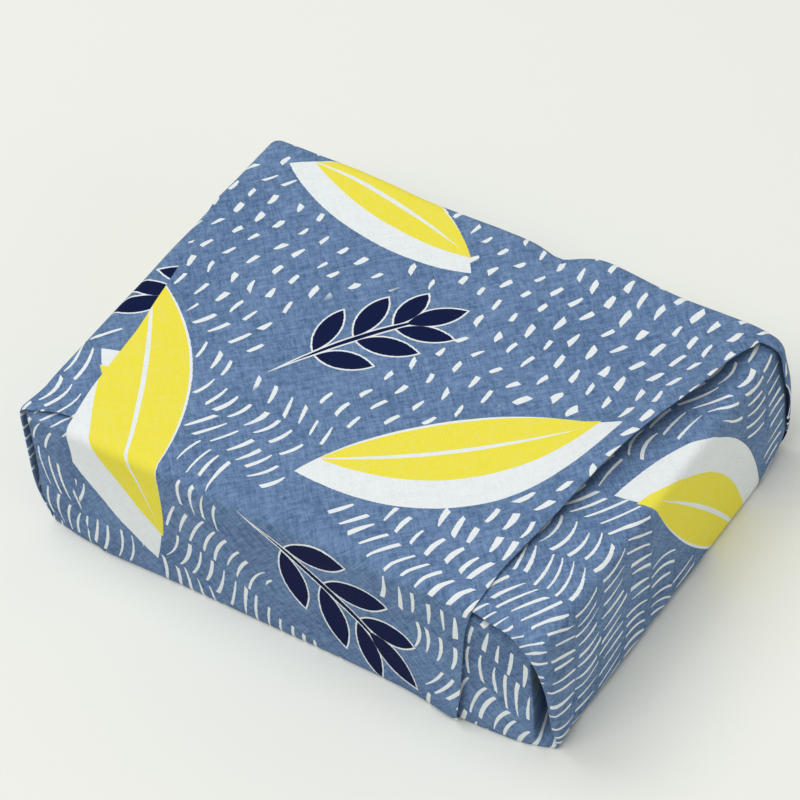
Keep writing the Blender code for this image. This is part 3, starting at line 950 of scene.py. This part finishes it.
cotton = Material("printed_cotton")
cloth_map = cotton.node("ShaderNodeUVMap", {"uv_map": "cloth"})
MM = 1000  # millimetres in a metre
across = cotton.node("ShaderNodeSeparateXYZ", None, cloth_map, out="X") * MM
along = cotton.node("ShaderNodeSeparateXYZ", None, cloth_map, out="Y") * MM
print("nodes so far:", len(cotton.tree.nodes))

# %% [markdown]
# ## The motifs
#
# The print has large two-tone leaves and sprigs of small dark leaves, scattered over rows of
# short strokes.  Each leaf is a lens, the overlap of two circles, because its distance is one
# square root.  A leaf's yellow part is a second, smaller lens set to one side inside the first,
# and the white that is left is a crescent.  Everything here is in millimetres on the flat cloth.

# %% Where the motifs are
Leaf = namedtuple("Leaf", "at turn half_length half_width bend")
LEAVES = (
    Leaf(at=(-44, 50), turn=38, half_length=80, half_width=27, bend=0.0012),
    Leaf(at=(66, -34), turn=-62, half_length=62, half_width=22, bend=-0.0016),
    Leaf(at=(-66, -86), turn=-14, half_length=50, half_width=17.5, bend=0.0022),
)
Sprig = namedtuple("Sprig", "at turn size")
SPRIGS = (
    Sprig(at=(72, 48), turn=8, size=1.05),
    Sprig(at=(-14, -34), turn=-78, size=0.90),
)
TILE, TILE_TURN, TILE_SHIFT = 256.0, 24.0, (192.0, 85.0)  # one repeat, its turn and its place
print("repeats along the cloth's diagonal:", round(MM * 2 * HALF_DIAGONAL / TILE, 1))


# %% Plain shapes
def turned(x, y, degrees):
    """The spot x, y as seen from axes turned by some degrees."""
    c, s = math.cos(math.radians(degrees)), math.sin(math.radians(degrees))
    return x * c + y * s, y * c - x * s


def lens(x, y, half_length, half_width):
    """The distance out of a pointed lens along x; it is negative inside."""
    radius = (half_length**2 + half_width**2) / (2 * half_width)
    wide = abs(y) + (radius - half_width)
    return (x * x + wide * wide).root() - radius


def nearest(distances):
    least = distances[0]
    for distance in distances[1:]:
        least = least.at_most(distance)
    return least


def in_tile(x, y):
    """The spot within one repeat of the print, in a half-drop layout."""
    a, b = turned(x - TILE_SHIFT[0], y - TILE_SHIFT[1], TILE_TURN)
    column = (a / TILE).floor()
    dropped = b + column * (TILE / 2)
    row = (dropped / TILE).floor()
    return a - (column + 0.5) * TILE, dropped - (row + 0.5) * TILE


def in_frame(motif, a, b):
    """The spot in one motif's own frame, with x along it."""
    return turned(a - motif.at[0], b - motif.at[1], motif.turn)


def leaf_spot(leaf, a, b):
    x, y = in_frame(leaf, a, b)
    return x, y - x * x * leaf.bend


# %% The leaves
CRESCENT = 0.30  # how far the yellow lens shifts, as a share of the leaf's half width
RIM = 1.1


def leaf_parts(leaf, a, b):
    """(distance out of the leaf, out of its yellow part, out of its midrib)."""
    x, y = leaf_spot(leaf, a, b)
    shift = CRESCENT * leaf.half_width
    outer = lens(x, y, leaf.half_length, leaf.half_width)
    inner = lens(x - 1.0, y + shift, leaf.half_length * 0.86, leaf.half_width - shift - RIM)
    rib = lens(x + 5, y + shift, leaf.half_length * 0.80, 0.9)
    return outer, inner, rib


# %% The sprigs
Leaflet = namedtuple("Leaflet", "start degrees half_length half_width")
LEAFLETS = (Leaflet(-16, 40, 13, 4.8), Leaflet(3, 38, 13.5, 5.0), Leaflet(21, 34, 12, 4.4))
TWIG_ROOT, TWIG_END, TWIG_WIDE, TWIG_BEND = -26.0, 40.0, 1.0, 0.002
STALK = 1.0  # from the twig's middle to where a leaflet begins


def sprig_parts(sprig, a, b):
    """The distance out of a sprig: a twig, pairs of leaflets and one at its end."""
    x, y = in_frame(sprig, a, b)
    x, y = x / sprig.size, y / sprig.size
    y = y - x * x * TWIG_BEND
    side = abs(y)
    middle, half = (TWIG_END + TWIG_ROOT) / 2, (TWIG_END - TWIG_ROOT) / 2
    end = LEAFLETS[0]
    parts = [lens(x - middle, y, half, TWIG_WIDE)]
    parts.append(lens(x - TWIG_END, y, end.half_length, end.half_width))
    for leaflet in LEAFLETS:
        p, q = turned(x - leaflet.start, side - STALK, leaflet.degrees)
        p = p - leaflet.half_length - STALK
        parts.append(lens(p, q, leaflet.half_length, leaflet.half_width))
    return nearest(parts) * sprig.size


def kept_clear(a, b):
    """The distance out of everything that the strokes keep clear of."""
    shapes = [lens(*leaf_spot(leaf, a, b), leaf.half_length, leaf.half_width) for leaf in LEAVES]
    for sprig in SPRIGS:
        x, y = in_frame(sprig, a, b)
        shapes.append(lens(x - 4, y, 52 * sprig.size, 23 * sprig.size))
    return nearest(shapes)


# %% [markdown]
# ## The strokes
#
# Between the motifs run wavy rows of brush strokes: low rows of short, sparse strokes pass into
# tall rows of long, close ones and back.  You could scatter small meshes or particles, but ink
# has no thickness.  So the cloth is cut into cells, one stroke to a cell, and each cell's own
# chance numbers move, lean, bow and taper its stroke.  A stroke is dropped as a whole where its
# middle comes too near a leaf or a sprig, so few are cut off at an outline.

# %% The rows that the strokes stand in
ROW_TURN = 12.0
ROWS_PER_MM, ROW_SWING = 0.0733, 0.0177  # how many rows there are, and how much that changes
SWING, SWING_START = 72.4, 0.76  # the length that it changes over, in millimetres a radian
SWUNG = ROW_SWING * SWING


def row_at(s, t):
    """The row at a spot: its number, height and crowding, and how far off its middle this is."""
    wavy = t + s.wave(37, 1.3) * 7.0 + s.wave(15.5, t * (1 / 60)) * 1.5
    count = wavy * ROWS_PER_MM - wavy.wave(SWING, SWING_START) * SWUNG
    number = count.floor()
    middle = (number + 0.5) * (1 / ROWS_PER_MM)
    middle = middle + middle.wave(SWING, SWING_START) * (SWUNG / ROWS_PER_MM)
    swing = middle.wave(SWING, SWING_START + math.pi / 2)
    height = 1 / (ROWS_PER_MM - swing * ROW_SWING)
    crowd = (swing * 0.8 + 0.62).at_least(0.0).at_most(1.0)
    return number, height, crowd, (count - number - 0.5) * height


heights = [1 / (ROWS_PER_MM + swing) for swing in (ROW_SWING, -ROW_SWING)]
print("lowest and tallest row:", [round(height, 1) for height in heights], "mm")

# %% One stroke to a cell
WIDEST, NARROWEST = 10.0, 5.5  # a cell's width, where strokes are sparse and where they crowd
BOLD_FROM, BOLD_TO = (5.0, 75.0), (128.0, 104.0)  # across the cloth, where strokes are bolder
SOFT = 0.16  # how far the ink's edge fades


def stroke_field(material, u, v):
    """1 in the strokes and 0 between them."""
    s, t = turned(u, v, ROW_TURN)
    row, height, crowd, off_y = row_at(s, t)
    width = crowd.between(WIDEST, NARROWEST)
    offset, drift, _ = material.chances(row, row * 0.37 + 5.1)
    # the cells lean and bow with their row, and each row starts at a place of its own
    lean = s.wave(52, row * 1.7) * 0.34 + (drift - 0.5) * 0.3
    shear = off_y * lean + off_y * off_y * s.wave(43, row * -1.1) * 0.028
    run = s + (row * 0.9).sine() * 6.0 + offset * width + shear
    column = (run / width).floor()
    off_x = run - (column + 0.5) * width
    # each cell's chances: where its stroke strays to, and how long, wide and tapered it is
    shift, lift, tip = material.chances(column, row)
    long, wide, taper = material.chances(column + 71, row + 13)
    bold = u.ramp(*BOLD_FROM) * u.ramp(*BOLD_TO)
    half_length = height * (crowd.between(0.235, 0.425) + bold * (1 - crowd) * 0.07)
    half_length = half_length * long.between(0.83, 1.17)
    y = off_y - (lift - 0.5) * (height * 0.16)
    q = y / half_length
    x = off_x - (shift - 0.5) * (width * 0.30) + (tip - 0.5) * (y * 0.12 + q * q * 0.5)
    brush = (taper - 0.5) * q * 0.9 + 1.06 - q * q * 0.26
    half_width = crowd.between(1.04, 0.68) * bold.between(1, 1.2) * brush
    half_width = half_width * wide.between(0.75, 1.25)
    end = half_length - abs(y + x * (tip - 0.5) * 1.2)
    mask = (half_width - abs(x)).ramp(0.0, SOFT) * end.ramp(0.0, SOFT)
    # the cell's middle decides whether its stroke is clear of the motifs
    back_x, back_y = turned(off_x - shear, off_y, -ROW_TURN)
    clear = kept_clear(*in_tile(u - back_x, v - back_y)) - height * (crowd * 0.10 + 0.22)
    return mask * clear.ramp(0.0, 0.1)


# %% The print's masks
KEYLINE = 0.7  # the pale line round a sprig


def printed(material, u, v):
    """(white, yellow, navy) masks of the whole print at a spot of the cloth, in millimetres."""
    a, b = in_tile(u, v)
    outer, inner, rib = map(nearest, zip(*[leaf_parts(leaf, a, b) for leaf in LEAVES]))
    sprigs = nearest([sprig_parts(sprig, a, b) for sprig in SPRIGS])
    keyline = 1 - sprigs.ramp(KEYLINE, KEYLINE + SOFT)
    leaf = 1 - outer.ramp(0.0, SOFT)
    white = stroke_field(material, u, v).at_least(leaf).at_least(keyline)
    yellow = (1 - inner.ramp(0.0, SOFT)) * rib.ramp(0.0, SOFT)
    navy = 1 - sprigs.ramp(0.0, SOFT)
    return white, yellow, navy


# %% [markdown]
# ## The cotton itself
#
# The ground is chambray: a pale blue weft through a darker blue warp, so its threads show as
# short streaks both ways.  The square is laid cornerwise on the box, so the threads run at 45
# degrees to the parcel's edges.  Real threads would be too many to model, and noise that is
# stretched along them looks the same.  The ink lies on top and hides most of that, but the weave
# still shows through it in the light.

# %% Threads
THREAD = 0.46  # from one thread to the next, in millimetres
APART = 400  # far enough off for another piece of the same noise
warp, weft = turned(across, along, 45.0)


def streaks(material, p, q):
    """Slubs and thread-to-thread change, long in one way and a thread wide in the other."""
    fine = material.noise(p * 0.17, q * 1.5, 1.0, 2.0)
    broad = material.noise(p * 0.06, q * 0.50, 1.0, 1.0)
    return fine * 0.65 + broad * 0.35


threads = (streaks(cotton, warp, weft) + streaks(cotton, weft + APART, warp)) * 0.5
blotches = cotton.noise(across, along, 0.035, 3.0)
mottle = cotton.noise(warp, weft, 0.42, 2.0)
grain = cotton.noise(warp, weft, 1.3, 1.0)
over = (warp * (math.pi / THREAD)).sine() * (weft * (math.pi / THREAD)).sine()
print("nodes so far:", len(cotton.tree.nodes))

# %% The print on the threads
DARK_BLUE, PALE_BLUE = (0.064, 0.120, 0.238), (0.178, 0.280, 0.462)
WHITE_INK, YELLOW_INK, NAVY_INK = (0.77, 0.81, 0.82), (0.80, 0.71, 0.058), (0.003, 0.008, 0.050)
INK_RAGGED = 0.22

ragged = (cotton.noise(warp, weft, 0.9, 2.0) - 0.5) * (2 * INK_RAGGED)
white, yellow, navy = printed(cotton, across + ragged, along - ragged)
shade = (threads - 0.5) * 2.80 + (grain - 0.5) * 0.4 + (mottle - 0.5) * 0.8
shade = shade + (blotches - 0.5) * 0.5 + 0.5
ground = cotton.mixed(shade.at_least(0.0).at_most(1.0), DARK_BLUE, PALE_BLUE)
worn = 1 - (threads - 0.5) * 0.5 - (grain - 0.5) * 0.12


def inked(below, share, ink, strength):
    """The ink over what lies below it, a little thinner where the threads stand up."""
    return cotton.mixed(share * (worn * strength).at_most(1.0), below, ink)


colour = inked(ground, white, WHITE_INK, 0.97)
colour = inked(colour, yellow, YELLOW_INK, 0.98)
colour = inked(colour, navy, NAVY_INK, 1.08)
height = over * 0.5 + (threads - 0.5) * 1.6 + (grain - 0.5) * 0.6
bump = cotton.node("ShaderNodeBump", None, Strength=0.55, Distance=0.00012, Height=height)
finish = {
    "Base Color": colour,
    "Normal": bump,
    "Roughness": 0.9,
    "Specular IOR Level": 0.10,
    "Sheen Weight": 0.02,
    "Sheen Roughness": 0.5,
}
for name, value in finish.items():
    cotton.set(cotton.shader.inputs[name], value)
wrap.data.materials.append(cotton.data)
print("nodes in the cotton:", len(cotton.tree.nodes))

# %% [markdown]
# ## Floor and light
#
# The floor is one pale sheet, a hair below the parcel so that the two never share a plane, and
# so wide that no edge shows.  A soft light is a large one, so each lamp here is a disc nearly two
# metres wide.  The window stands high on the left and gives the top its tone.  The front fill is
# as high, and lights the long front.  The two low fills, right and back, keep the end and the
# floor behind from going dark.  The room's own light does the rest: it is even and a little warm.

# %% Floor
FLOOR_SIZE, FLOOR_HEIGHT = 6.0, -0.0002
FLOOR_COLOUR, FLOOR_ROUGHNESS = (0.797, 0.810, 0.768), 0.9


def make_floor():
    data = bpy.data.meshes.new("floor")
    signs = (-1, -1), (1, -1), (1, 1), (-1, 1)
    corners = [(x * FLOOR_SIZE / 2, y * FLOOR_SIZE / 2, FLOOR_HEIGHT) for x, y in signs]
    data.from_pydata(corners, [], [(0, 1, 2, 3)])
    pale = Material("pale_floor")
    pale.set(pale.shader.inputs["Base Color"], FLOOR_COLOUR)
    pale.set(pale.shader.inputs["Roughness"], FLOOR_ROUGHNESS)
    data.materials.append(pale.data)
    floor = into_scene("floor", data)
    return floor


print("floor:", make_floor().dimensions[:])

# %% Lights
Lamp = namedtuple("Lamp", "name bearing height_angle power colour")
LAMPS = (
    Lamp("window", 180, 62, 29.5, (0.985, 1.0, 1.03)),
    Lamp("front_fill", 270, 62, 36.5, (0.99, 1.0, 1.01)),
    Lamp("right_fill", 350, 20, 10.5, (0.99, 1.0, 1.01)),
    Lamp("back_fill", 90, 20, 9.0, (1.0, 0.98, 0.93)),
)
LAMP_DISTANCE, LAMP_SIZE = 3.0, 1.9
ROOM_COLOUR, ROOM_STRENGTH = (1.01, 0.99, 0.92, 1.0), 0.42


def soft_light(lamp):
    data = bpy.data.lights.new(lamp.name, "AREA")
    data.shape = "DISK"
    data.size = LAMP_SIZE
    data.energy = lamp.power
    data.color = lamp.colour
    made = into_scene(lamp.name, data)
    around, up = math.radians(lamp.bearing), math.radians(lamp.height_angle)
    level = Vector((math.cos(around), math.sin(around), 0.0)) * math.cos(up)
    place = (level + Vector((0.0, 0.0, math.sin(up)))) * LAMP_DISTANCE
    made.location = place
    made.rotation_euler = (-place).to_track_quat("-Z", "Y").to_euler()
    made.visible_camera = False


for lamp in LAMPS:
    soft_light(lamp)
world = bpy.data.worlds.new("room")
bpy.context.scene.world = world
world.use_nodes = True
background = world.node_tree.nodes["Background"].inputs
background["Color"].default_value = ROOM_COLOUR
background["Strength"].default_value = ROOM_STRENGTH
bpy.context.scene.view_settings.view_transform = "Standard"
print("lamps:", len(LAMPS))
